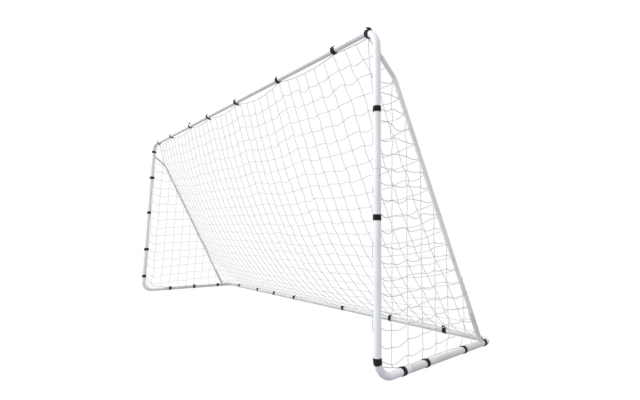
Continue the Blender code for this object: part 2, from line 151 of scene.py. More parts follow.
def noise(mat, scale, detail=2.0, roughness=0.5, vector=None):
    node = add_node(mat, "ShaderNodeTexNoise", in_Scale=scale, in_Detail=detail, in_Roughness=roughness)
    if vector is None:
        vector = add_node(mat, "ShaderNodeTexCoord").outputs["Object"]
    join(mat, vector, node.inputs["Vector"])
    return node.outputs["Fac"]


def remap(mat, value, low, high, to_low, to_high):
    node = add_node(mat, "ShaderNodeMapRange")
    for key, number in (("From Min", low), ("From Max", high), ("To Min", to_low), ("To Max", to_high)):
        node.inputs[key].default_value = number
    join(mat, value, node.inputs["Value"])
    return node.outputs["Result"]


def math_node(mat, operation, a, b):
    node = add_node(mat, "ShaderNodeMath", operation=operation)
    for socket, value in zip(node.inputs, (a, b)):
        if isinstance(value, (int, float)):
            socket.default_value = value
        else:
            join(mat, value, socket)
    return node.outputs[0]


def mix_color(mat, factor, color_a, color_b):
    node = add_node(mat, "ShaderNodeMix", data_type="RGBA")
    join(mat, factor, node.inputs[0])
    for socket, color in ((node.inputs[6], color_a), (node.inputs[7], color_b)):
        if isinstance(color, tuple):
            socket.default_value = (*color, 1.0)
        else:
            join(mat, color, socket)
    return node.outputs[2]


def bump(mat, shader, height, distance, strength=1.0):
    node = add_node(mat, "ShaderNodeBump", in_Distance=distance, in_Strength=strength)
    join(mat, height, node.inputs["Height"])
    join(mat, node.outputs["Normal"], shader.inputs["Normal"])


def uv_parts(mat):
    """Round the piece (0 to 1) and along it (in metres), as two sockets."""
    uv = add_node(mat, "ShaderNodeUVMap", uv_map="UVMap")
    split = add_node(mat, "ShaderNodeSeparateXYZ")
    join(mat, uv.outputs["UV"], split.inputs["Vector"])
    return split.outputs["X"], split.outputs["Y"]


def powder_coat(name, color, dull, roughness):
    """White powder coat: orange peel, faint grime, and scuffs where the wear attribute says."""
    mat, shader = new_material(name, color, roughness)
    grime = remap(mat, noise(mat, 5.0, 6.0, 0.6), 0.42, 0.75, 0.0, 1.0)
    clean = mix_color(mat, grime, color, dull)
    wear = add_node(mat, "ShaderNodeAttribute", attribute_name="wear").outputs["Fac"]
    scratch = remap(mat, noise(mat, 260.0, 5.0, 0.7), 0.50, 0.62, 0.0, 0.75)
    worn = math_node(mat, "MULTIPLY", wear, scratch)
    join(mat, mix_color(mat, worn, clean, (0.42, 0.42, 0.43)), shader.inputs["Base Color"])
    gloss = remap(mat, noise(mat, 18.0, 3.0), 0.3, 0.7, roughness - 0.05, roughness + 0.07)
    rough = math_node(mat, "ADD", gloss, math_node(mat, "MULTIPLY", worn, 0.25))
    join(mat, rough, shader.inputs["Roughness"])
    bump(mat, shader, noise(mat, 300.0, 2.0), 0.00012, 0.25)
    return mat


def strap_weave():
    """Black hook-and-loop webbing: plain weave and fuzz."""
    mat, shader = new_material("black_webbing", (0.014, 0.014, 0.018), 0.92)
    across, along = uv_parts(mat)
    warp = math_node(mat, "SINE", math_node(mat, "MULTIPLY", across, 2 * math.pi * 17), 0)
    weft = math_node(mat, "SINE", math_node(mat, "MULTIPLY", along, 2 * math.pi / 0.0016), 0)
    weave = math_node(mat, "MULTIPLY", warp, weft)
    fuzz = noise(mat, 900.0, 4.0, 0.7)
    height = math_node(mat, "ADD", math_node(mat, "MULTIPLY", weave, 0.35), fuzz)
    bump(mat, shader, height, 0.0006, 0.8)
    tone = remap(mat, noise(mat, 60.0, 4.0, 0.65), 0.35, 0.70, 0.0, 1.0)
    color = mix_color(mat, tone, (0.004, 0.004, 0.006), (0.017, 0.017, 0.023))
    join(mat, color, shader.inputs["Base Color"])
    shader.inputs["Sheen Weight"].default_value = 0.12
    shader.inputs["Sheen Roughness"].default_value = 0.5
    shader.inputs["Specular IOR Level"].default_value = 0.25
    return mat


def twine(name, color, groove_shade_color, radius, pitch, strands):
    """Twisted cord: the strands wind round it, in the piece's own round-and-along coordinates."""
    mat, shader = new_material(name, color, 0.62)
    around, along = uv_parts(mat)
    turns = math_node(mat, "ADD", math_node(mat, "MULTIPLY", around, float(strands)),
                      math_node(mat, "MULTIPLY", along, 1.0 / pitch))
    wave = math_node(mat, "SINE", math_node(mat, "MULTIPLY", turns, 2 * math.pi), 0)
    groove = remap(mat, wave, -1.0, 0.2, 0.0, 1.0)
    fibre = noise(mat, 1500.0, 2.0)
    height = math_node(mat, "ADD", groove, math_node(mat, "MULTIPLY", fibre, 0.3))
    bump(mat, shader, height, radius * 0.5, 0.9)
    # painted shade: the colour falls to the dark colour down in the grooves between strands, with a little
    # random tone on top
    tone = math_node(mat, "MULTIPLY", groove, remap(mat, noise(mat, 9.0, 4.0), 0.3, 0.7, 0.75, 1.0))
    join(mat, mix_color(mat, tone, groove_shade_color, color), shader.inputs["Base Color"])
    shader.inputs["Specular IOR Level"].default_value = 0.35
    return mat


def plated_steel():
    """Dull zinc plating, with a fine mottle in its roughness, colour and bump."""
    mat, shader = new_material("zinc_plate", (0.36, 0.37, 0.39), 0.34, 1.0)
    mottle = noise(mat, 700.0, 4.0, 0.65)
    join(mat, remap(mat, mottle, 0.3, 0.7, 0.26, 0.46), shader.inputs["Roughness"])
    color = mix_color(mat, remap(mat, noise(mat, 350.0), 0.35, 0.7, 0.0, 1.0),
                      (0.30, 0.31, 0.33), (0.48, 0.49, 0.50))
    join(mat, color, shader.inputs["Base Color"])
    bump(mat, shader, mottle, 0.0001, 0.3)
    return mat


def make_materials():
    return {
        # One white powder coat in lit and shaded copies. The ground coat is darker: painted shade for the
        # shaded faces of the ground bars. The post's blue tint and the brace's faint green tint are painted
        # tints of the light that falls on them.
        "crossbar": powder_coat("white_powder_coat_bar", (0.835, 0.84, 0.85), (0.76, 0.765, 0.775), 0.30),
        "post": powder_coat("white_powder_coat_post_painted_blue_light", (0.81, 0.825, 0.895), (0.73, 0.74, 0.78), 0.30),
        "brace": powder_coat("white_powder_coat_brace", (0.84, 0.855, 0.845), (0.72, 0.73, 0.72), 0.36),
        "ground": powder_coat("white_powder_coat_ground_painted_shade", (0.69, 0.70, 0.70), (0.58, 0.59, 0.59), 0.40),
        "strap": strap_weave(),
        "button": plated_steel(),
        "cord": twine("net_twine", (0.77, 0.775, 0.775), (0.60, 0.605, 0.605), CORD_R, 0.009, 3),
        "rope": twine("edge_rope", (0.77, 0.775, 0.775), (0.60, 0.605, 0.605), ROPE_R, 0.016, 3),
    }


# ---- mesh helpers

def make_piece(name, verts, faces, mat, uvs=None, wear=None, smooth=35.0):
    """An object from arrays. uvs holds one pair for each corner of each face."""
    mesh = bpy.data.meshes.new(name)
    mesh.from_pydata(np.asarray(verts, float).tolist(), [], np.asarray(faces).tolist())
    if uvs is not None:
        layer = mesh.uv_layers.new(name="UVMap")
        layer.data.foreach_set("uv", np.asarray(uvs, np.float32).ravel())
    if wear is not None:
        attribute = mesh.attributes.new("wear", "FLOAT", "POINT")
        attribute.data.foreach_set("value", np.asarray(wear, np.float32))
    mesh.materials.append(mat)
    mesh.shade_smooth()
    mesh.set_sharp_from_angle(angle=math.radians(smooth))
    piece = bpy.data.objects.new(name, mesh)
    bpy.context.scene.collection.objects.link(piece)
    return piece


def unit(v):
    return v / np.maximum(np.linalg.norm(v, axis=-1, keepdims=True), 1e-12)


def tangents(paths):
    """Unit tangents of many paths at once, from an array of shape (paths, points, 3)."""
    ahead = np.diff(paths, axis=1)
    ahead = unit(ahead)
    first, last = ahead[:, :1], ahead[:, -1:]
    return unit(np.concatenate([first, ahead[:, :-1] + ahead[:, 1:], last], axis=1))


def carried_frames(paths, start):
    """Two unit vectors across each path, carried along it without twist."""
    along = tangents(paths)
    count, points, _ = paths.shape
    side = np.empty_like(paths)
    current = np.broadcast_to(np.asarray(start, float), (count, 3))
    for k in range(points):
        current = unit(current - along[:, k] * np.sum(current * along[:, k], axis=1, keepdims=True))
        side[:, k] = current
    return side, np.cross(along, side)


def grid_quads(rows, columns):
    """Quads between rings of vertices, ring after ring; each ring closes on itself."""
    index = np.arange(rows * columns).reshape(rows, columns)
    following = np.roll(index, -1, axis=1)
    return np.stack([index[:-1], following[:-1], following[1:], index[1:]], axis=-1).reshape(-1, 4)


def grid_uvs(u0, u1, v0, v1):
    """Corner UVs of a grid's quads, from their low and high sides."""
    u0, u1, v0, v1 = np.broadcast_arrays(u0, u1, v0, v1)
    corners = [np.stack(pair, -1) for pair in ((u0, v0), (u1, v0), (u1, v1), (u0, v1))]
    return np.stack(corners, axis=-2).reshape(-1, 2)


def sweep(paths, radius, sides, start=(0.31, 0.53, 0.79)):
    """Round tubes along many paths of the same number of points: vertices, quads and corner UVs."""
    paths = np.asarray(paths, float)
    count, points, _ = paths.shape
    radius = np.broadcast_to(np.asarray(radius, float), (count, points))
    side, other = carried_frames(paths, start)
    turn = np.arange(sides) * 2 * math.pi / sides
    ring = (side[:, :, None] * np.cos(turn)[:, None] + other[:, :, None] * np.sin(turn)[:, None])
    verts = paths[:, :, None] + ring * radius[:, :, None, None]
    index = np.arange(count * points * sides).reshape(count, points, sides)
    following = np.roll(index, -1, axis=2)
    quads = np.stack([index[:, :-1], following[:, :-1], following[:, 1:], index[:, 1:]], axis=-1)
    length = np.zeros((count, points))
    length[:, 1:] = np.cumsum(np.linalg.norm(np.diff(paths, axis=1), axis=2), axis=1)
    u = np.arange(sides) / sides
    uvs = grid_uvs(u, u + 1 / sides, length[:, :-1, None], length[:, 1:, None])
    return verts.reshape(-1, 3), quads.reshape(-1, 4), uvs


def merged(parts):
    """Several (vertices, faces, uvs) as one."""
    verts, faces, uvs, base = [], [], [], 0
    for v, f, t in parts:
        verts.append(v)
        faces.append(f + base)
        uvs.append(t)
        base += len(v)
    return np.concatenate(verts), np.concatenate(faces), np.concatenate(uvs)


def resampled(points, spacing):
    """A path of points at about the same spacing along a polyline."""
    points = np.asarray(points, float)
    reach = np.concatenate([[0], np.cumsum(np.linalg.norm(np.diff(points, axis=0), axis=1))])
    count = max(3, int(round(reach[-1] / spacing)) + 1)
    at = np.linspace(0, reach[-1], count)
    return np.stack([np.interp(at, reach, points[:, k]) for k in range(3)], axis=1)


def smoothed(points, spacing):
    """A Catmull-Rom curve through the points, as a path at even spacing."""
    p = np.asarray(points, float)
    p = np.concatenate([[2 * p[0] - p[1]], p, [2 * p[-1] - p[-2]]])
    out = []
    for a, b, c, d in zip(p, p[1:], p[2:], p[3:]):
        for s in np.linspace(0, 1, 8, endpoint=False):
            out.append(0.5 * (2 * b + (c - a) * s + (2 * a - 5 * b + 4 * c - d) * s ** 2
                              + (3 * b - a - 3 * c + d) * s ** 3))
    out.append(p[-2])
    return resampled(out, spacing)


# ---- tube paths

def filleted(start, corner, end, radius, steps):
    """A path from start to end, rounded at its corner."""
    back = (start - corner).normalized()
    on = (end - corner).normalized()
    half = back.angle(on) / 2
    centre = corner + (back + on).normalized() * (radius / math.sin(half))
    a = corner + back * (radius / math.tan(half)) - centre
    b = corner + on * (radius / math.tan(half)) - centre
    angle = a.angle(b)
    across = (b - a * math.cos(angle)).normalized() * radius
    turns = [angle * k / steps for k in range(steps + 1)]
    return [start, *[centre + a * math.cos(t) + across * math.sin(t) for t in turns], end]


def mirrored(sign, points):
    return [Vector((sign * p.x, p.y, p.z)) for p in points]


def brace_direction():
    return (BRACE_FOOT - BRACE_KNEE).normalized()


def brace_joint():
    """Where the upper brace ends and the lower one begins."""
    slope = brace_direction()
    return BRACE_KNEE + slope * ((BRACE_KNEE.z - BRACE_JOINT_Z) / -slope.z)


def tube_plan():
    """Each tube's node, path, radius, which ends are swaged, and its coat."""
    plan = []
    crossbar = [Vector((CROSSBAR_OUTER, FRONT_Y, TOP_Z)), Vector((CROSSBAR_INNER, FRONT_Y, TOP_Z))]
    rear = [Vector((REAR_OUTER, REAR_Y, GROUND_Z)), Vector((REAR_INNER, REAR_Y, GROUND_Z))]
    corner = Vector((HALF_W, FRONT_Y, TOP_Z))
    post_joint = Vector((HALF_W, FRONT_Y, POST_JOINT))
    upper_post = filleted(crossbar[0], corner, post_joint, FRONT_BEND_R, 20)
    front_foot = Vector((HALF_W, FRONT_Y, GROUND_Z))
    base = [Vector((HALF_W, BASE_FRONT, GROUND_Z)), Vector((HALF_W, BASE_REAR, GROUND_Z))]
    lower_post = filleted(post_joint, front_foot, base[0], FRONT_BEND_R, 20)
    rear_corner = filleted(base[1], Vector((HALF_W, REAR_Y, GROUND_Z)), rear[0], REAR_BEND_R, 20)
    joint = brace_joint()
    start = BRACE_TOP + (BRACE_KNEE - BRACE_TOP).normalized() * BRACE_START
    upper_brace = filleted(start, BRACE_KNEE, joint, BRACE_BEND_R, 10)
    lower_brace = [joint, BRACE_FOOT - brace_direction() * (SOCKET_LENGTH - BRACE_IN_SOCKET)]
    for side, sign in SIDES.items():
        rows = (("crossbar", crossbar, TUBE_R, (False, True), "crossbar"),
                ("rear_base", rear, TUBE_R, (False, True), "ground"),
                ("upper_post", upper_post, TUBE_R, (True, True), "post"),
                ("lower_post", lower_post, TUBE_R, (False, True), "post"),
                ("side_base", base, TUBE_R, (False, False), "ground"),
                ("rear_corner", rear_corner, TUBE_R, (True, True), "ground"),
                ("upper_brace", upper_brace, BRACE_R, (False, True), "brace"),
                ("lower_brace", lower_brace, BRACE_R, (False, False), "brace"))
        for name, path, radius, male, coat in rows:
            plan.append((f"{name}_{side}", mirrored(sign, path), radius, male, coat))
    for name, x, y, z, coat in (("crossbar_centre", CROSSBAR_INNER, FRONT_Y, TOP_Z, "crossbar"),
                                ("rear_base_centre", REAR_INNER, REAR_Y, GROUND_Z, "ground")):
        plan.append((name, [Vector((-x, y, z)), Vector((x, y, z))], TUBE_R, (False, False), coat))
    return plan


# ---- tubes

def end_stations(tip, along, radius, male):
    """(point, outer radius, wear) from the tube's body to its end, at a joint that it meets or enters."""
    small = radius - WALL - GAP
    if male:
        stations = [(-0.030, radius, 0.0), (-CONE - 0.002, radius, 0.25), (-CONE, radius * 0.998, 0.5)]
        for share in (0.2, 0.5, 0.8):
            ease = share * share * (3 - 2 * share)
            stations.append((-CONE + CONE * share, radius + (small - radius) * ease, 0.8))
        stations += [(0.0, small, 0.9), (SPIGOT - 0.001, small, 0.4), (SPIGOT, small - 0.0004, 0.4)]
    else:
        lip = 0.0006
        stations = [(-0.012, radius, 0.0), (-0.004, radius, 0.35), (-0.0015, radius, 0.8),
                    (-lip, radius, 1.0), (-lip * 0.3, radius - lip * 0.3, 1.0), (0.0, radius - lip, 0.9)]
    return [(tip + along * s, r, w) for s, r, w in stations]


def tube_mesh(path, radius, male, sides):
    """A tube's outer and inner skins, joined by a flat ring at each end."""
    begin = end_stations(path[0], (path[0] - path[1]).normalized(), radius, male[0])
    finish = end_stations(path[-1], (path[-1] - path[-2]).normalized(), radius, male[1])
    stations = begin[::-1] + [(p, radius, 0.0) for p in path[1:-1]] + finish
    points = np.array([list(p) for p, _, _ in stations])
    radii = np.array([r for _, r, _ in stations])
    wear = np.array([w for _, _, w in stations])
    skins = [sweep(points[None], (radii - inset)[None], sides) for inset in (0.0, WALL)]
    (v0, f0, t0), (v1, f1, t1) = skins
    f1 = f1[:, ::-1] + len(v0)
    t1 = t1.reshape(-1, 4, 2)[:, ::-1].reshape(-1, 2)
    caps = []
    count = len(points)
    for ring in (0, count - 1):
        a = ring * sides + np.arange(sides)
        b = np.roll(a, -1)
        cap = np.stack([a, b, b + len(v0), a + len(v0)], axis=1)
        caps.append(cap[:, ::-1] if ring == 0 else cap)
    faces = np.concatenate([f0, f1, *caps])
    uvs = np.concatenate([t0, t1, np.zeros((2 * sides * 4, 2))])
    return np.concatenate([v0, v1]), faces, uvs, np.tile(np.repeat(wear, sides), 2)


def pipe_between(start, end, radius, bore, wear_end, sides=40):
    """A short welded pipe, open at its far end: outer skin, lip, and bore, which has no bottom face."""
    start, end = np.array(start), np.array(end)
    along = unit(end - start)
    length = np.linalg.norm(end - start)
    lip = 0.0006
    outer = [(0, radius, 0), (length - 0.012, radius, 0), (length - 0.002, radius, wear_end),
             (length - lip, radius, wear_end), (length, radius - lip, wear_end),
             (length, bore + lip, wear_end), (length - lip, bore, wear_end), (SOCKET_FLOOR, bore, 0)]
    points = np.array([start + along * s for s, _, _ in outer])
    # rings share one direction, so a path that turns back keeps its rings the right way round
    side = unit(np.cross(along, (1.0, 0.0, 0.0)))
    other = np.cross(along, side)
    turn = np.arange(sides) * 2 * math.pi / sides
    ring = side * np.cos(turn)[:, None] + other * np.sin(turn)[:, None]
    verts = [p + r * ring for p, (_, r, _) in zip(points, outer)]
    u = np.arange(sides) / sides
    s = np.array([row[0] for row in outer])
    uvs = grid_uvs(u, u + 1 / sides, s[:-1, None], s[1:, None])
    wear = np.repeat([row[2] for row in outer], sides)
    return np.concatenate(verts), grid_quads(len(outer), sides), uvs, wear


def weld_bead(origin, pipe_along, pipe_r, bar_along, bar_r, bead_r=0.0024, steps=96):
    """A rippled bead where a pipe's skin meets the bar that it is welded to."""
    u, w = np.array(pipe_along), np.array(bar_along)
    a = unit(np.cross(u, w))
    b = np.cross(u, a)
    path, radii = [], []
    for k in range(steps):
        t = 2 * math.pi * k / steps
        rim = a * math.cos(t) * pipe_r + b * math.sin(t) * pipe_r
        # how far out along the pipe the point leaves the bar's round skin
        u_p = u - w * np.dot(u, w)
        r_p = rim - w * np.dot(rim, w)
        qa, qb, qc = np.dot(u_p, u_p), 2 * np.dot(u_p, r_p), np.dot(r_p, r_p) - bar_r ** 2
        out = (-qb + math.sqrt(max(qb * qb - 4 * qa * qc, 0))) / (2 * qa)
        path.append(np.array(origin) + rim * 1.01 + u * out)
        radii.append(bead_r * (1 + 0.16 * math.sin(t * 26) + 0.08 * math.sin(t * 5 + 1)))
    path.append(path[0])
    radii.append(radii[0])
    return sweep(np.array(path)[None], np.array(radii)[None], 10)


def drilled(piece, places, hole_r, depth):
    """Cut round holes in a piece: places are (centre on the tube's axis, outward direction)."""
    turn = np.arange(32) * 2 * math.pi / 32
    for centre, out in places:
        u = out.cross(AXIS_Z).normalized()
        v = out.cross(u)
        verts = []
        for height in depth:
            verts += [list(centre + out * height + u * hole_r * math.cos(t) + v * hole_r * math.sin(t))
                      for t in turn]
        faces = grid_quads(2, 32).tolist()
        mesh = bpy.data.meshes.new("drill")
        mesh.from_pydata(verts, [], faces + [list(range(31, -1, -1)), list(range(32, 64))])
        cutter = bpy.data.objects.new("drill", mesh)
        bpy.context.scene.collection.objects.link(cutter)
        modifier = piece.modifiers.new("hole", "BOOLEAN")
        modifier.operation = "DIFFERENCE"
        modifier.solver = "EXACT"
        modifier.object = cutter
        depsgraph = bpy.context.evaluated_depsgraph_get()
        result = bpy.data.meshes.new_from_object(piece.evaluated_get(depsgraph))
        piece.modifiers.clear()
        piece.data = result
        bpy.data.objects.remove(cutter)
    piece.data.shade_smooth()
    piece.data.set_sharp_from_angle(angle=math.radians(35))


def pin_centres():
    """Each button's point on its tube's axis, half a spigot from the joint, with the direction
    that it points in and the tube's radius."""
    brace_pin = brace_joint() + brace_direction() * SPIGOT / 2
    places = {}
    for side, sign in SIDES.items():
        out = AXIS_X * sign
        for name, joint_x in (("outer", CROSSBAR_OUTER), ("inner", CROSSBAR_INNER)):
            point = Vector((sign * (joint_x - SPIGOT / 2), FRONT_Y, TOP_Z))
            places[f"button_crossbar_{name}_{side}"] = (point, AXIS_Y, TUBE_R)
        point = Vector((sign * HALF_W, FRONT_Y, POST_JOINT - SPIGOT / 2))
        places[f"button_post_{side}"] = (point, out, TUBE_R)
        point = Vector((sign * HALF_W, brace_pin.y, brace_pin.z))
        places[f"button_brace_{side}"] = (point, out, BRACE_R)
    return places


def hole_table():
    """For each tube's node, the buttons whose holes go through it."""
    table = {"crossbar_centre": ["button_crossbar_inner_left", "button_crossbar_inner_right"]}
    for side in SIDES:
        table[f"crossbar_{side}"] = [f"button_crossbar_outer_{side}", f"button_crossbar_inner_{side}"]
        table[f"upper_post_{side}"] = [f"button_crossbar_outer_{side}", f"button_post_{side}"]
        table[f"lower_post_{side}"] = [f"button_post_{side}"]
        table[f"upper_brace_{side}"] = [f"button_brace_{side}"]
        table[f"lower_brace_{side}"] = [f"button_brace_{side}"]
    return table


def tubes(mats):
    """Round tubes in place of the faceted ones, with their rims, tapers and button holes."""
    holes = hole_table()
    pins = pin_centres()
    for node, path, radius, male, coat in tube_plan():
        thin = radius < TUBE_R
        verts, faces, uvs, wear = tube_mesh(path, radius, male, 36 if thin else 48)
        piece = make_piece(f"round_{node}", verts, faces, mats[coat], uvs, wear)
        cuts = [pins[button][:2] for button in holes.get(node, [])]
        drilled(piece, cuts, BRACE_HOLE_R if thin else TUBE_HOLE_R, (radius * 0.4, radius * 1.4))
        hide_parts(node)
        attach(piece, BODY)


def welded_fittings(mats):
    """The brace's stub on each post and its socket on each ground bar, with their weld beads."""
    slope = (BRACE_KNEE - BRACE_TOP).normalized()
    up = -brace_direction()
    for side, sign in SIDES.items():
        root, tip = mirrored(sign, [BRACE_TOP, BRACE_TOP + slope * STUB_LENGTH])
        stub_r = BRACE_R - WALL - GAP
        stub = pipe_between(root, tip, stub_r, stub_r - WALL, 0.6)
        bead = weld_bead(root, slope, stub_r, AXIS_Z, TUBE_R)
        fitting(f"brace_stub_{side}", stub, bead, mats["post"])
        root, rim = mirrored(sign, [BRACE_FOOT, BRACE_FOOT + up * SOCKET_LENGTH])
        socket = pipe_between(root, rim, SOCKET_R, BRACE_R + GAP, 0.8)
        bead = weld_bead(root, up, SOCKET_R, AXIS_Y, TUBE_R)
        fitting(f"brace_socket_{side}", socket, bead, mats["ground"])


def fitting(name, pipe, bead, mat):
    """A welded pipe and its bead as one piece."""
    *pipe_shape, pipe_wear = pipe
    verts, faces, uvs = merged([pipe_shape, bead])
    wear = np.concatenate([pipe_wear, np.full(len(bead[0]), 0.15)])
    piece = make_piece(name, verts, faces, mat, uvs, wear)
    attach(piece, BODY)


# ---- snap buttons

def snap_buttons(mats):
    """A turned pin with a domed head, on the flat end of its leaf spring."""
    sides = 28
    turn = (np.arange(sides) * 2 * math.pi / sides)[:, None]
    for name, (centre, out, radius) in pin_centres().items():
        thin = radius < TUBE_R
        pin_r = BRACE_PIN_R if thin else TUBE_PIN_R
        leaf_top = radius - 2 * (WALL + GAP)
        tip = radius + (BRACE_PIN_PROUD if thin else TUBE_PIN_PROUD)
        dome = [(pin_r * math.cos(t), tip - pin_r * 0.62 + pin_r * 0.62 * math.sin(t))
                for t in np.linspace(0, math.pi / 2, 9)]
        profile = [(pin_r * 0.3, leaf_top - 0.0012), (pin_r, leaf_top - 0.0010), (pin_r, leaf_top),
                   (pin_r * 0.97, tip - pin_r * 0.75), (pin_r, tip - pin_r * 0.68), *dome]
        u = np.array(out.cross(AXIS_Z).normalized())
        v = np.cross(np.array(out), u)
        ring = u * np.cos(turn) + v * np.sin(turn)
        pin = [np.array(centre) + np.array(out) * h + ring * max(r, 1e-5) for r, h in profile]
        leaf_verts, leaf_faces = leaf_spring(centre, out, name, leaf_top, pin_r)
        verts = np.concatenate([*pin, leaf_verts])
        faces = np.concatenate([grid_quads(len(pin), sides), leaf_faces + len(pin) * sides])
        piece = make_piece(f"snap_{name}", verts, faces, mats["button"])
        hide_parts(name)
        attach(piece, name.replace("button_", "") + "_button")


def leaf_spring(centre, out, node, top, pin_r):
    """The leaf's end: a thin flat strip that lies along the tube under its wall."""
    offset = middle(node) - centre
    along = (offset - out * offset.dot(out)).normalized()
    across = out.cross(along)
    half = pin_r + 0.0002
    stations = np.linspace(-0.006, 0.020, 9)
    verts = [list(centre + along * s + across * side + out * height)
             for s in stations for height in (top - 0.0008, top) for side in (-half, half)]
    faces = []
    for a in range(0, 4 * (len(stations) - 1), 4):
        faces += [[a, a + 1, a + 5, a + 4], [a + 2, a + 6, a + 7, a + 3],
                  [a, a + 4, a + 6, a + 2], [a + 1, a + 3, a + 7, a + 5]]
    last = 4 * (len(stations) - 1)
    faces += [[0, 2, 3, 1], [last, last + 1, last + 3, last + 2]]
    return np.array(verts), np.array(faces)


# ---- straps

def centre_lines():
    """The axis of every tube but the braces', as points 2 mm apart."""
    return [resampled([list(p) for p in path], 0.002)
            for _, path, radius, _, _ in tube_plan() if radius == TUBE_R]


def rope_side(point):
    """Direction from a tube's axis to the net's edge rope beside it."""
    sign = 1 if point[0] > 0 else -1
    if point[2] > TOP_Z - 0.01:
        return unit(np.array([0.0, 0.5, -0.87]))
    if point[2] > GROUND_Z + 0.02:
        return unit(np.array([-0.72 * sign, 0.69, -0.20 if point[2] > 1.69 else 0.0]))
    if point[1] > REAR_Y - 0.01:
        return unit(np.array([0.0, -0.60, 0.80]))
    outward = 0.35 if point[1] > BRACE_FOOT.y else -0.62
    return unit(np.array([outward * sign, 0.0, 0.45 if outward < 0 else 0.80]))


def strap_places():
    """For each strap: its tube's axis, its index there, the tangent, the rope's side, the tail's."""
    lines = centre_lines()
    places = {}
    for node in sorted(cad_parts):
        if not node.startswith("strap"):
            continue
        here = np.array(middle(node))
        line = min(lines, key=lambda axis: np.linalg.norm(axis - here, axis=1).min())
        k = min(max(int(np.argmin(np.linalg.norm(line - here, axis=1))), 8), len(line) - 9)
        along = unit(line[k + 2] - line[k - 2])
        side = rope_side(line[k])
        side = unit(side - along * np.dot(side, along))
        tail = here - line[k]
        tail = tail - along * np.dot(tail, along)
        places[node] = (line, k, along, side, unit(tail))
    return places


def strap_section(tail_angle, turns):
    """The ribbon's run round tube and rope, then its loose tail: positions and outward normals."""
    rope_at = np.array([1.0, 0.0]) * (TUBE_R + GAP + ROPE_R)
    points, normals = [], []
    start = tail_angle - turns * 2 * math.pi
    for k in range(int(40 * turns) + 1):
        phi = start + k * 2 * math.pi / 40
        lap = (phi - start) / (2 * math.pi)
        lift = GAP + STRAP_LAYER * (0.5 + min(max(lap - 0.92, 0) / 0.16, 1.0) * 1.25)
        normal = np.array([math.cos(phi), math.sin(phi)])
        near_rope = np.dot(rope_at, normal) + ROPE_R > TUBE_R
        base = rope_at + normal * (ROPE_R + lift) if near_rope else normal * (TUBE_R + lift)
        points.append(base)
        normals.append(normal)
    heading = unit(points[-1] - points[-2])
    normal = normals[-1]
    for s in np.linspace(0.003, 0.018, 6):
        points.append(points[int(40 * turns)] + heading * s + normal * (s * s * 10 + 0.0006))
        normals.append(unit(normal - heading * s * 20))
    return np.array(points), np.array(normals)


def strap(node, place, mat):
    """A hook-and-loop strap: about a turn and a half of webbing, with a loose end."""
    line, k, along, side, tail = place
    other = np.cross(along, side)
    tail_angle = math.atan2(np.dot(tail, other), np.dot(tail, side))
    width = STRAP_WIDTH + RNG.uniform(-0.0008, 0.0010)
    points, normals = strap_section(tail_angle, 1.0 + RNG.uniform(0.45, 0.75))
    skew = RNG.uniform(-0.0028, 0.0028)
    wobble = RNG.uniform(0, 6.28, 3)
    half_t = STRAP_LAYER / 2
    edge = 0.0003
    profile = [(-0.5, -1 + edge / half_t), (-0.5 + 0.02, -1), (-0.17, -1.0), (0.17, -1.0), (0.5 - 0.02, -1),
               (0.5, -1 + edge / half_t), (0.5, 1 - edge / half_t), (0.5 - 0.02, 1.0),
               (0.17, 1.12), (-0.17, 1.12), (-0.5 + 0.02, 1.0), (-0.5, 1 - edge / half_t)]
    count = len(points)
    verts = np.zeros((count, len(profile), 3))
    step = np.linalg.norm(line[1] - line[0])
    run = np.concatenate([[0], np.cumsum(np.linalg.norm(np.diff(points, axis=0), axis=1))])
    for i, (p, n) in enumerate(zip(points, normals)):
        share = i / (count - 1)
        slide = skew * share ** 1.5 * 1.6 + 0.0005 * math.sin(9 * share + wobble[0])
        swell = 0.0005 * max(0, share - 0.55) * math.sin(21 * share + wobble[1])
        for j, (a, h) in enumerate(profile):
            at = min(max(k + (a * width + slide) / step, 0), len(line) - 1.001)
            low = int(at)
            here = line[low] + (line[low + 1] - line[low]) * (at - low)
            tangent = unit(line[min(low + 2, len(line) - 1)] - line[max(low - 1, 0)])
            x = unit(side - tangent * np.dot(side, tangent))
            y = np.cross(tangent, x)
            flat = p + n * (h * half_t + swell)
            verts[i, j] = here + x * flat[0] + y * flat[1]
    verts[..., 2] = np.maximum(verts[..., 2], 0.0002)   # pressed flat where the tube rests on it
    u = np.array([a + 0.5 for a, _ in profile])
    faces = grid_quads(count, len(profile))[:, OTHER_WAY]
    corners = grid_uvs(u, np.roll(u, -1), run[:-1, None], run[1:, None]).reshape(-1, 4, 2)[:, OTHER_WAY]
    cap = np.array([[0, 1, 2, 11], [2, 3, 10, 11], [3, 4, 9, 10], [4, 5, 8, 9], [5, 6, 7, 8]])
    last = (count - 1) * len(profile)
    faces = np.concatenate([faces, cap, cap[:, ::-1] + last])
    corners = np.concatenate([corners, np.zeros((10, 4, 2))])
    piece = make_piece(f"webbing_{node}", verts.reshape(-1, 3), faces, mat, corners.reshape(-1, 2),
                       smooth=50)
    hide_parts(node)
    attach(piece, BODY)


# ---- net: edge ropes

def rope_contact(place):
    """Where the rope's axis is, under a strap."""
    line, k, _, side, _ = place
    return line[k] + side * (TUBE_R + GAP + ROPE_R)


def rope_run(places, nodes, droop, amount):
    """A rope through its straps in order, hanging between them towards droop."""
    contacts = [rope_contact(places[n]) if isinstance(n, str) else np.array(n) for n in nodes]
    points = [contacts[0]]
    for a, b in zip(contacts, contacts[1:]):
        gap = np.linalg.norm(b - a)
        waves = 2 if gap > 0.5 and abs(b[2] - a[2]) > 0.5 else 1
        depth = amount * min(gap, 0.6) ** 2 * RNG.uniform(0.75, 1.25)
        for s in np.linspace(0, 1, 9 if waves == 1 else 15)[1:-1]:
            bulge = 4 * s * (1 - s) if waves == 1 else math.sin(2 * math.pi * s) ** 2
            points.append(a + (b - a) * s + np.array(droop) * depth * bulge)
        points.append(b)
    return smoothed(points, 0.012)


def straps_named(stem, count):
    return [f"strap_{stem}_{k}" for k in range(1, count + 1)]


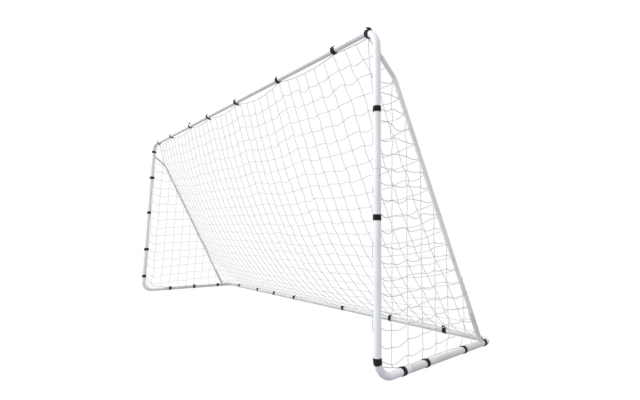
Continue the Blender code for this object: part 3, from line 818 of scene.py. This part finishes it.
def edge_ropes(places):
    """The ropes along the net's edges, each as one path."""
    rear_left = (-(HALF_W - 0.012), REAR_Y - 0.050, GROUND_Z + 0.018)
    # round the inside of each front ground bend
    near_bend = FRONT_Y + FRONT_BEND_R - (FRONT_BEND_R - TUBE_R - 0.006) * math.sqrt(0.5)
    low_bend = GROUND_Z + FRONT_BEND_R - (FRONT_BEND_R - TUBE_R - 0.006) * math.sqrt(0.5)
    bend_right = (HALF_W - 0.008, near_bend, low_bend)
    bend_left = (-bend_right[0], near_bend, low_bend)
    plan = {
        "top": (straps_named("crossbar", 8)[::-1], (0, 0.3, -0.95), 0.09),
        "post_right": (["strap_crossbar_1", *straps_named("right_post", 3)], (-1, 0.1, 0), 0.10),
        "post_left": (["strap_crossbar_8", *straps_named("left_post", 5)], (0.6, 0.8, 0), 0.07),
        "base_right": (["strap_right_post_3", bend_right, *straps_named("right_base", 4)],
                       (-1, 0, 0.1), 0.05),
        "base_left": (["strap_left_post_5", bend_left, *straps_named("left_base", 3), rear_left],
                      (1, 0, 0.3), 0.05),
        "rear": ([rear_left, *straps_named("rear", 7), "strap_right_base_4"], (0, -0.4, 0.9), 0.05),
    }
    return {edge: rope_run(places, *row) for edge, row in plan.items()}


def seam_path(sign, top, bottom):
    """Where a side panel is laced to the back: behind the brace, inside it above and outside below."""
    slope = brace_direction()
    rear_up = Vector((0, -slope.z, slope.y))
    inner = Vector((-sign, 0, 0))
    points = [np.array(top)]
    length = (BRACE_FOOT - BRACE_KNEE).length
    for share in np.linspace(-0.02, 0.97, 22):
        at = BRACE_KNEE + slope * length * share
        blend = min(max((at.z - OUTSIDE_BELOW + 0.10) / 0.25, 0.0), 1.0)
        angle = math.radians(-25 + 105 * blend)
        offset = rear_up * math.cos(angle) + inner * math.sin(angle)
        at = at + offset * (BRACE_R + ROPE_R + GAP)
        points.append(np.array((sign * HALF_W + (at.x - HALF_W), at.y, at.z)))
    points.append(np.array(bottom))
    return smoothed(points, 0.010)


# ---- net: knots and cords

class Net:
    """Knots, the cords between them, and the runs of knots that each cord is drawn through."""

    def __init__(self):
        self.points = []
        self.free = []
        self.bars = []
        self.lengths = []
        self.runs = {}
        self.by_pair = {}

    def knot(self, point, free):
        self.points.append(np.array(point, float))
        self.free.append(1.0 if free else 0.0)
        return len(self.points) - 1

    def bar(self, a, b, length):
        self.bars.append((a, b))
        self.lengths.append(length)

    def rest(self, a, b):
        """The cord's own length between two knots; where there is no cord yet, their distance."""
        if not self.by_pair:
            self.by_pair = dict(zip(self.bars, self.lengths))
        apart = float(np.linalg.norm(self.points[a] - self.points[b]))
        return self.by_pair.get((a, b), self.by_pair.get((b, a), apart))

    def run(self, group, kind, knots):
        self.runs.setdefault((group, kind), []).append(knots)


def at_coordinate(path, axis, value):
    """The point of a path where one of its coordinates has a value; the path runs one way along it."""
    coordinate = path[:, axis]
    order = np.argsort(coordinate)
    return np.array([np.interp(value, coordinate[order], path[order, k]) for k in range(3)])


def at_share(path, share):
    reach = np.concatenate([[0], np.cumsum(np.linalg.norm(np.diff(path, axis=0), axis=1))])
    return np.array([np.interp(share * reach[-1], reach, path[:, k]) for k in range(3)])


def back_panel(net, ropes, seams):
    """The back: columns from the crossbar's rope to the rear rope, rows from seam to seam."""
    knots = np.zeros((NET_ROWS + 1, NET_COLUMNS + 1), int)
    top_half = min(abs(ropes["top"][0][0]), abs(ropes["top"][-1][0]))
    for c in range(NET_COLUMNS + 1):
        share = c / NET_COLUMNS
        left_top, right_top = seams["left"][0], seams["right"][0]
        x_top = left_top[0] + (right_top[0] - left_top[0]) * share
        x_rear = seams["left"][-1][0] + (seams["right"][-1][0] - seams["left"][-1][0]) * share
        top = at_coordinate(ropes["top"], 0, np.clip(x_top, -top_half, top_half))
        top[0] = x_top
        foot = at_coordinate(ropes["rear"], 0, x_rear)
        for r in range(NET_ROWS + 1):
            down = r / NET_ROWS
            if c in (0, NET_COLUMNS):
                point = at_share(seams["left" if c == 0 else "right"], down)
            else:
                point = top + (foot - top) * down
                point = point + np.array([0, -0.11, -0.08]) * 4 * down * (1 - down)
            free = 0 < r < NET_ROWS and 0 < c < NET_COLUMNS
            knots[r, c] = net.knot(point, free)
    for c in range(1, NET_COLUMNS):
        for r in range(NET_ROWS):
            net.bar(knots[r, c], knots[r + 1, c], ROW_CORD * RNG.uniform(0.985, 1.015))
        net.run("back", "down", knots[:, c].tolist())
    for r in range(1, NET_ROWS):
        for c in range(NET_COLUMNS):
            net.bar(knots[r, c], knots[r, c + 1], COLUMN_CORD * RNG.uniform(0.965, 1.045))
        net.run("back", "across", knots[r].tolist())
    return knots


def side_panel(net, side, ropes, seam):
    """A triangle of mesh between the post's rope, the ground bar's rope and the seam."""
    sign = SIDES[side]
    post, base = ropes[f"post_{side}"], ropes[f"base_{side}"]
    mesh_y, mesh_z = SIDE_MESH[side]
    slack = 0.0 if side == "right" else 0.02
    outer_x = HALF_W + BRACE_R + CORD_R
    seam_low = seam[seam[:, 2].argsort()]
    z_levels = np.arange(GROUND_Z + 0.026 + mesh_z * 0.9, 1.60, mesh_z)
    y_post = FRONT_Y + TUBE_R
    columns = np.arange(y_post + mesh_y * 0.92, seam[:, 1].max() - 0.06, mesh_y)
    grid = {}
    for n, z in enumerate(z_levels):
        start = at_coordinate(post, 2, z)
        end = at_coordinate(seam_low, 2, z)
        outside = z < OUTSIDE_BELOW
        row = [net.knot(start, False)]
        for m, y in enumerate(columns):
            if y > end[1] - 0.030:
                break
            share = (y - start[1]) / (end[1] - start[1])
            x_end = sign * outer_x if outside else end[0]
            point = np.array([start[0] + (x_end - start[0]) * share, y, z])
            grid[n, m] = net.knot(point, True)
            row.append(grid[n, m])
        for a, b in zip(row, row[1:]):
            gap = np.linalg.norm(net.points[b] - net.points[a])
            net.bar(a, b, gap * RNG.uniform(1.0, 1.06))
        if outside:
            wrap = np.array([sign * (outer_x + 0.0004), end[1] - 0.016, z])
            row.append(net.knot(wrap, False))
            net.bar(row[-2], row[-1], np.linalg.norm(wrap - net.points[row[-2]]) * 1.02)
        row.append(net.knot(end, False))
        if not outside:
            net.bar(row[-2], row[-1], np.linalg.norm(end - net.points[row[-2]]) * 1.03)
        net.run(side, "across", row)
    for m, y in enumerate(columns):
        levels = [n for n in range(len(z_levels)) if (n, m) in grid]
        if not levels:
            continue
        foot = net.knot(at_coordinate(base, 1, y), False)
        run = [foot] + [grid[n, m] for n in levels]
        top = at_coordinate(seam, 1, y)
        if top[2] - net.points[run[-1]][2] > 0.02:
            if top[2] < OUTSIDE_BELOW:
                wrap = np.array([sign * (outer_x + 0.0004), y, top[2] - 0.02])
                run.append(net.knot(wrap, False))
            run.append(net.knot(top, False))
        for a, b in zip(run, run[1:]):
            gap = np.linalg.norm(net.points[b] - net.points[a])
            net.bar(a, b, gap * RNG.uniform(0.995, 1.02 + slack))
        net.run(side, "down", run)


def coloured(bars, count):
    """Bars in groups that share no knot, so that each group is moved at once."""
    used = [set() for _ in range(count)]
    colours = []
    for a, b in bars:
        c = 0
        while c in used[a] or c in used[b]:
            c += 1
        used[a].add(c)
        used[b].add(c)
        colours.append(c)
    return np.array(colours)


def settle(net, steps=420, passes=10):
    """Let the net hang: knots fall, and cords hold them once they are taut."""
    points = np.array(net.points)
    free = np.array(net.free)
    bars = np.array(net.bars)
    lengths = np.array(net.lengths)
    colours = coloured(net.bars, len(points))
    groups = []
    for c in range(colours.max() + 1):
        chosen = colours == c
        a, b = bars[chosen].T
        share = free[a] + free[b]
        keep = share > 0
        a, b, share = a[keep], b[keep], share[keep]
        rest = lengths[chosen][keep]
        groups.append((a, b, rest, (free[a] / share)[:, None], (free[b] / share)[:, None]))
    step_time = 1 / 30
    gravity = 1.5
    speed = np.zeros_like(points)
    for _ in range(steps):
        speed[:, 2] -= gravity * step_time
        speed *= 0.97
        moved = points + speed * step_time * free[:, None]
        for _ in range(passes):
            for a, b, rest, share_a, share_b in groups:
                gap = moved[b] - moved[a]
                length = np.linalg.norm(gap, axis=1)
                pull = gap * (np.maximum(length - rest, 0) / length)[:, None]
                moved[a] += pull * share_a
                moved[b] -= pull * share_b
        moved[:, 2] = np.where(free > 0, np.maximum(moved[:, 2], CORD_R), moved[:, 2])
        speed = (moved - points) / step_time
        points = moved
    net.points = list(points)


def knot_frames(net):
    """At each knot: the panel's normal, from the cords that cross there."""
    count = len(net.points)
    points = np.array(net.points)
    direction = {"down": np.zeros((count, 3)), "across": np.zeros((count, 3))}
    for (_, kind), runs in net.runs.items():
        for run in runs:
            p = points[run]
            direction[kind][run] += tangents(p[None])[0]
    normal = np.cross(direction["across"], direction["down"])
    missing = np.linalg.norm(normal, axis=1) < 0.2
    normal[missing] = (0, -0.8, 0.6)
    return direction, unit(normal)


def draw_cords(net, group, kind, normal, twist, tilt, pieces=5):
    """Each run as a smooth cord that leaves every knot at the knot's own angle."""
    points = np.array(net.points)
    parts = []
    for run in net.runs[group, kind]:
        p = points[run]
        along = tangents(p[None])[0]
        n = normal[run]
        side = np.cross(n, along)
        lean = 0.65 if kind == "down" else 1.0
        turned = along + side * (twist[run] * lean)[:, None] + n * (tilt[run] * lean)[:, None]
        gap = np.linalg.norm(np.diff(p, axis=0), axis=1)
        rest = np.array([net.rest(a, b) for a, b in zip(run, run[1:])])
        sag = np.sqrt(6 * np.clip(rest / gap - 1, 0.0005, 0.03)) * (gap > 0.04)
        if kind == "across":
            way = np.tile(np.array([0, 0, 1.0]), (len(gap), 1))
        else:
            way = side[:-1] * np.where(RNG.random(len(gap)) < 0.5, -0.6, 0.6)[:, None]
        leave = turned[:-1] - way * sag[:, None]
        arrive = turned[1:] + way * sag[:, None]
        s = np.linspace(0, 1, pieces + 1)[:-1][:, None, None]
        curve = ((2 * s ** 3 - 3 * s ** 2 + 1) * p[:-1] + (s ** 3 - 2 * s ** 2 + s) * leave * gap[:, None]
                 + (3 * s ** 2 - 2 * s ** 3) * p[1:] + (s ** 3 - s ** 2) * arrive * gap[:, None])
        path = np.concatenate([curve.transpose(1, 0, 2).reshape(-1, 3), p[-1:]])
        parts.append(sweep(path[None], CORD_R, 6))
    return merged(parts)


def knot_shape():
    """A small lumpy knot, about three cords wide, in its own axes."""
    rows, turns = 7, 10
    verts = []
    for i in range(rows):
        polar = math.pi * (i + 0.5) / rows
        for j in range(turns):
            around = 2 * math.pi * j / turns
            swell = 1 + 0.16 * math.sin(3 * around + 4 * polar)
            r = math.sin(polar) * swell
            verts.append((r * math.cos(around), r * math.sin(around), math.cos(polar) * 1.05))
    return np.array(verts), grid_quads(rows, turns)[:, OTHER_WAY]


def draw_knots(net, direction, normal, chosen):
    shape, faces = knot_shape()
    points = np.array(net.points)[chosen]
    x = unit(direction["across"][chosen] + direction["down"][chosen] * 0.8)
    z = normal[chosen]
    y = unit(np.cross(z, x))
    x = np.cross(y, z)
    scale = RNG.uniform(0.9, 1.12, (len(points), 1, 1))
    local = shape * np.array([2.35, 1.75, 1.55]) * CORD_R
    spun = (local[None, :, 0:1] * x[:, None] + local[None, :, 1:2] * y[:, None]
            + local[None, :, 2:3] * z[:, None])
    verts = points[:, None] + spun * scale
    base = np.arange(len(points))[:, None, None] * len(shape)
    all_faces = (faces[None] + base).reshape(-1, 4)
    uv = np.tile(np.array([[0, 0], [0, 0.003], [0.2, 0.003], [0.2, 0]]), (len(all_faces), 1))
    return verts.reshape(-1, 3), all_faces, uv


def lacing(seam, pitch=0.045):
    """A thin cord wound round the seam's rope, which ties the side panel to the back."""
    path = resampled(seam, 0.0045)
    side, other = carried_frames(path[None], (1.0, 0.2, 0.1))
    reach = np.arange(len(path)) * 0.0045
    turn = reach * 2 * math.pi / pitch
    offset = side[0] * np.cos(turn)[:, None] + other[0] * np.sin(turn)[:, None]
    return sweep((path + offset * (ROPE_R + 0.0007))[None], 0.0009, 6)


def net_piece(name, shape, mat, node=None):
    verts, faces, uvs = shape
    piece = make_piece(name, verts, faces, mat, uvs, smooth=80)
    if node:
        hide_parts(node)
    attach(piece, BODY)


def net_pieces(mats, places):
    """The whole net: ropes, seams, cords and knots."""
    ropes = edge_ropes(places)
    corner = {"right": ropes["top"][-1], "left": ropes["top"][0]}
    foot = {"right": ropes["rear"][-1], "left": ropes["rear"][0]}
    seams = {side: seam_path(sign, corner[side], foot[side]) for side, sign in SIDES.items()}
    net = Net()
    back_panel(net, ropes, seams)
    for side in SIDES:
        side_panel(net, side, ropes, seams[side])
    settle(net, *(((420, 10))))
    count = len(net.points)
    direction, normal = knot_frames(net)
    twist = RNG.normal(0, 0.26, count)
    tilt = RNG.normal(0, 0.14, count)
    for group, node in (("back", "net_back"), ("right", "net_side_right"), ("left", "net_side_left")):
        parts = [draw_cords(net, group, kind, normal, twist, tilt) for kind in ("down", "across")]
        net_piece(f"cords_{node}", merged(parts), mats["cord"], node)
    chosen = np.flatnonzero(np.array(net.free) > 0)
    net_piece("net_knots", draw_knots(net, direction, normal, chosen), mats["cord"])
    parts = [sweep(path[None], ROPE_R, 10) for path in [*ropes.values(), *seams.values()]]
    parts += [lacing(seam) for seam in seams.values()]
    net_piece("net_edge_ropes", merged(parts), mats["rope"])


# ---- stage, light and camera

def stage():
    """A pale glowing floor, 90 m across, on which shadows hardly show."""
    bpy.ops.mesh.primitive_plane_add(size=90)
    floor = bpy.context.object
    floor.name = "floor"
    mat, shader = new_material("pale_floor", (0.03, 0.03, 0.03), 0.9)
    shader.inputs["Specular IOR Level"].default_value = 0.0
    shader.inputs["Emission Color"].default_value = (1, 1, 1, 1)
    shader.inputs["Emission Strength"].default_value = 0.965
    floor.data.materials.append(mat)
    floor.visible_diffuse = False
    floor.visible_glossy = False


def studio_light():
    """White behind the goal; on the goal, more light from above and from the left, and two softboxes."""
    world = bpy.data.worlds.new("studio")
    bpy.context.scene.world = world
    world.use_nodes = True
    background = world.node_tree.nodes["Background"]
    split = add_node(world, "ShaderNodeSeparateXYZ")
    join(world, add_node(world, "ShaderNodeTexCoord").outputs["Generated"], split.inputs["Vector"])
    by_height = remap(world, split.outputs["Z"], -0.5, 0.5, 0.42, 1.12)
    by_side = remap(world, split.outputs["X"], -1.0, 1.0, 1.10, 0.78)
    chosen = add_node(world, "ShaderNodeMix")
    join(world, add_node(world, "ShaderNodeLightPath").outputs["Is Camera Ray"], chosen.inputs[0])
    join(world, math_node(world, "MULTIPLY", by_height, by_side), chosen.inputs[2])
    chosen.inputs[3].default_value = 1.0
    join(world, chosen.outputs[0], background.inputs["Strength"])
    background.inputs["Color"].default_value = (1.0, 1.0, 1.0, 1.0)
    softbox("key", (-4.5, -5.5, 5.5), (0, 0, 0.7), 5.0, 500, (0.97, 0.98, 1.0))
    softbox("fill", (4.0, -7.0, 2.0), (0.5, 0, 0.8), 4.0, 90, (1.0, 1.0, 1.0))


def softbox(name, place, target, width, power, color):
    data = bpy.data.lights.new(name, "AREA")
    data.shape = "SQUARE"
    data.size = width
    data.energy = power
    data.color = color
    light = bpy.data.objects.new(name, data)
    light.visible_camera = False
    light.location = place
    light.rotation_euler = (Vector(target) - Vector(place)).to_track_quat("-Z", "Y").to_euler()
    bpy.context.scene.collection.objects.link(light)


def camera():
    """Wide lens from the front right, low down, as close as the goal is wide."""
    yaw, pitch, roll = math.radians(-49.27), math.radians(7.51), math.radians(1.18)
    forward = Vector((math.cos(pitch) * math.sin(yaw), math.cos(pitch) * math.cos(yaw), math.sin(pitch)))
    level = Vector((math.cos(yaw), -math.sin(yaw), 0))
    above = level.cross(forward)
    right = level * math.cos(roll) + above * math.sin(roll)
    up = above * math.cos(roll) - level * math.sin(roll)
    data = bpy.data.cameras.new("camera")
    data.lens = 20.92
    data.sensor_width = 36.0
    data.shift_x = 0.0080
    data.shift_y = -0.0173
    data.clip_end = 200
    cam = bpy.data.objects.new("camera", data)
    basis = Matrix((right, up, -forward)).transposed()
    cam.matrix_world = Matrix.Translation((HALF_W + 1.208, FRONT_Y - 1.456, 0.685)) @ basis.to_4x4()
    bpy.context.scene.collection.objects.link(cam)
    bpy.context.scene.camera = cam


def main():
    scene = bpy.context.scene
    scene.view_settings.view_transform = "Standard"
    mats = make_materials()
    tubes(mats)
    welded_fittings(mats)
    snap_buttons(mats)
    places = strap_places()
    for node, place in places.items():
        strap(node, place, mats["strap"])
    net_pieces(mats, places)
    stage()
    studio_light()
    camera()


main()
